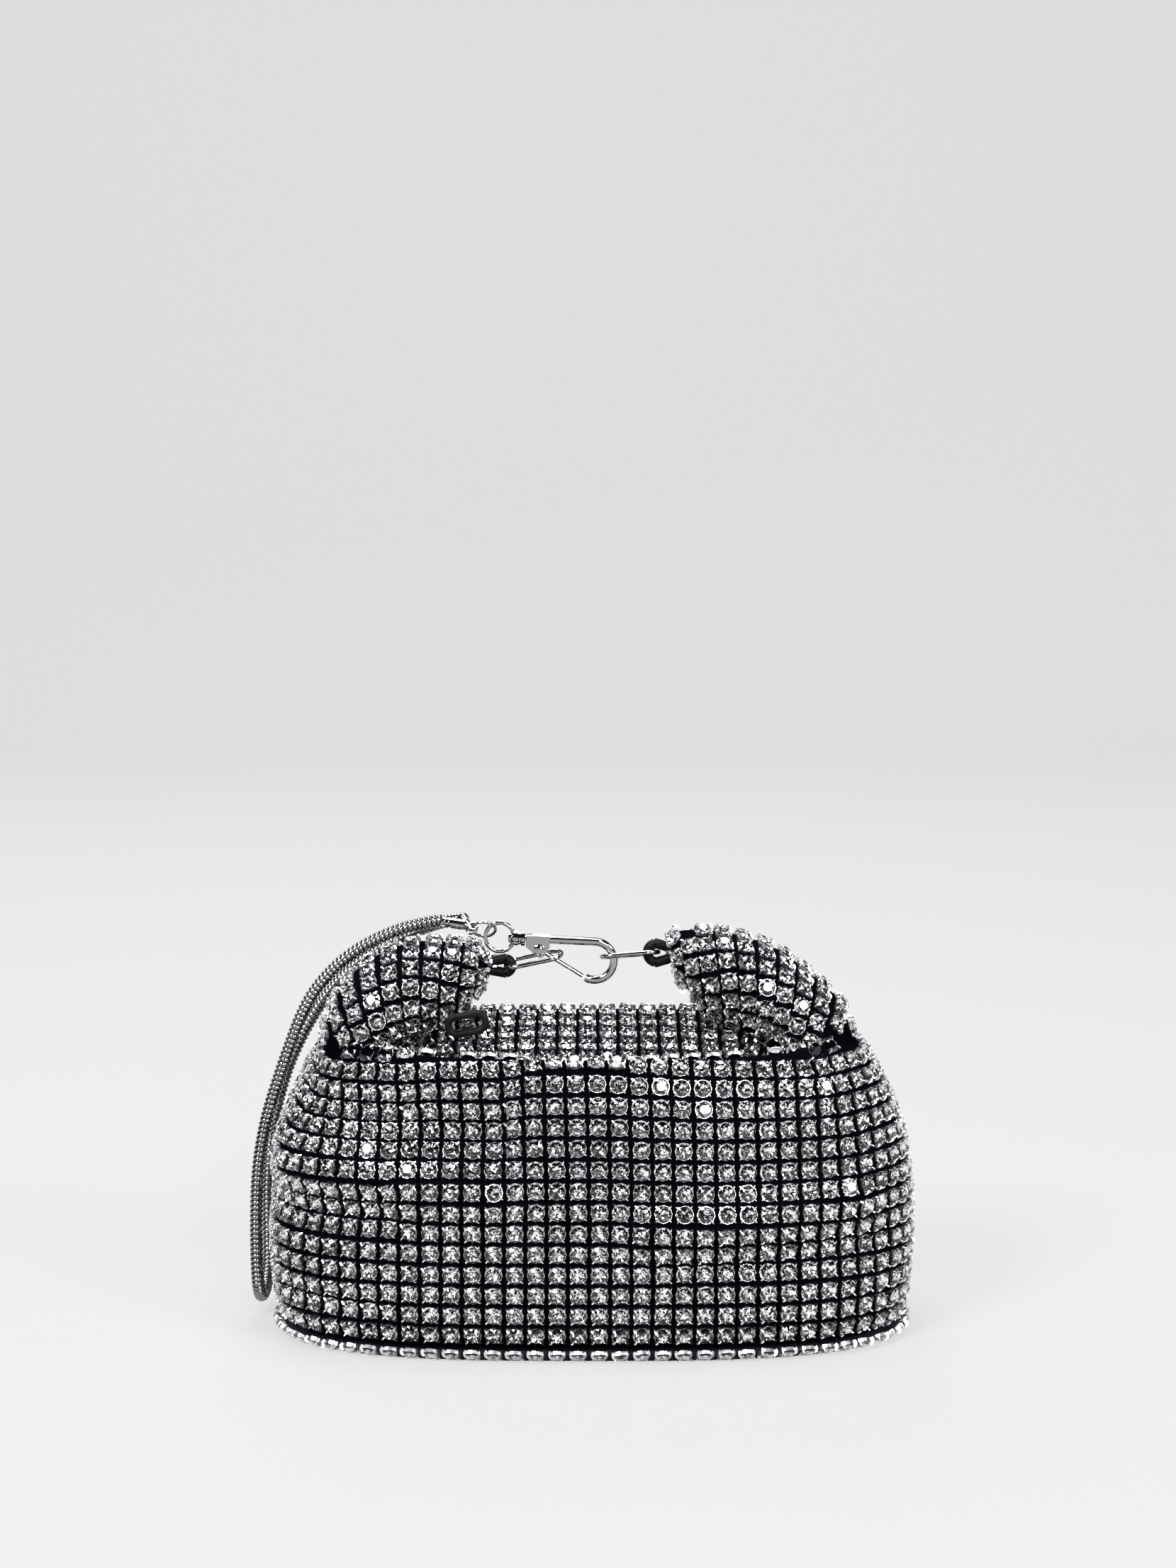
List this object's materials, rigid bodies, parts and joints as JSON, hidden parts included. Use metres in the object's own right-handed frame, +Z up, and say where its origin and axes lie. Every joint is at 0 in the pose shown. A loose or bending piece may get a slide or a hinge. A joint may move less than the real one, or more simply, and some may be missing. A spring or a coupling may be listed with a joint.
{
  "type": "crystal mesh top-handle pouch bag with a snake chain wristlet",
  "caption": "Soft hollow pouch bag whose gathered ends curve up and are joined by links and a snap hook as a short handle, with a hanging snake chain wrist loop.",
  "frame": {"origin": "centre of the base panel's underside, on the surface that the bag stands on", "axes": "+Z up, +X along the bag's width towards the right ear, -Y towards the front rim"},
  "size_m": [0.1972, 0.0956, 0.1213],
  "materials": {
    "crystal_cloth": "black mesh cloth covered with clear faceted stones in silver cups",
    "black_panel": "matt black",
    "black_leather": "smooth black, slightly glossy",
    "chrome": "polished",
    "gunmetal": "dark polished"
  },
  "bodies": {
    "bag": {"pouch": "crystal_cloth", "base_panel": "black_panel", "left_tab_loop": "black_leather", "right_tab_loop": "black_leather", "left_link": "chrome", "right_link": "chrome", "hook_frame": "chrome", "gate_pin": "chrome", "jump_ring": "chrome", "front_end_cap": "chrome", "back_end_cap": "chrome", "snake_chain": "chrome", "zip_slider": "gunmetal", "zip_pull_strip": "gunmetal", "zip_pull_tab": "black_leather"},
    "gate": {"hook_gate": "chrome"},
    "eye": {"swivel_eye": "chrome"}
  },
  "joints": [
    {"name": "gate_hinge", "type": "hinge", "parent": "bag", "child": "gate", "pos_m": [-0.0154, -0.004, 0.11104], "axis": [0, -1, 0], "range_deg": [0, 8], "stiffness_Nm_per_rad": 0.002, "springref_deg": -28.65},
    {"name": "eye_swivel", "type": "hinge", "parent": "bag", "child": "eye", "pos_m": [-0.01865, -0.004, 0.1143], "axis": [0.9989, 0, -0.0471], "range_deg": [-30, 0]}
  ]
}
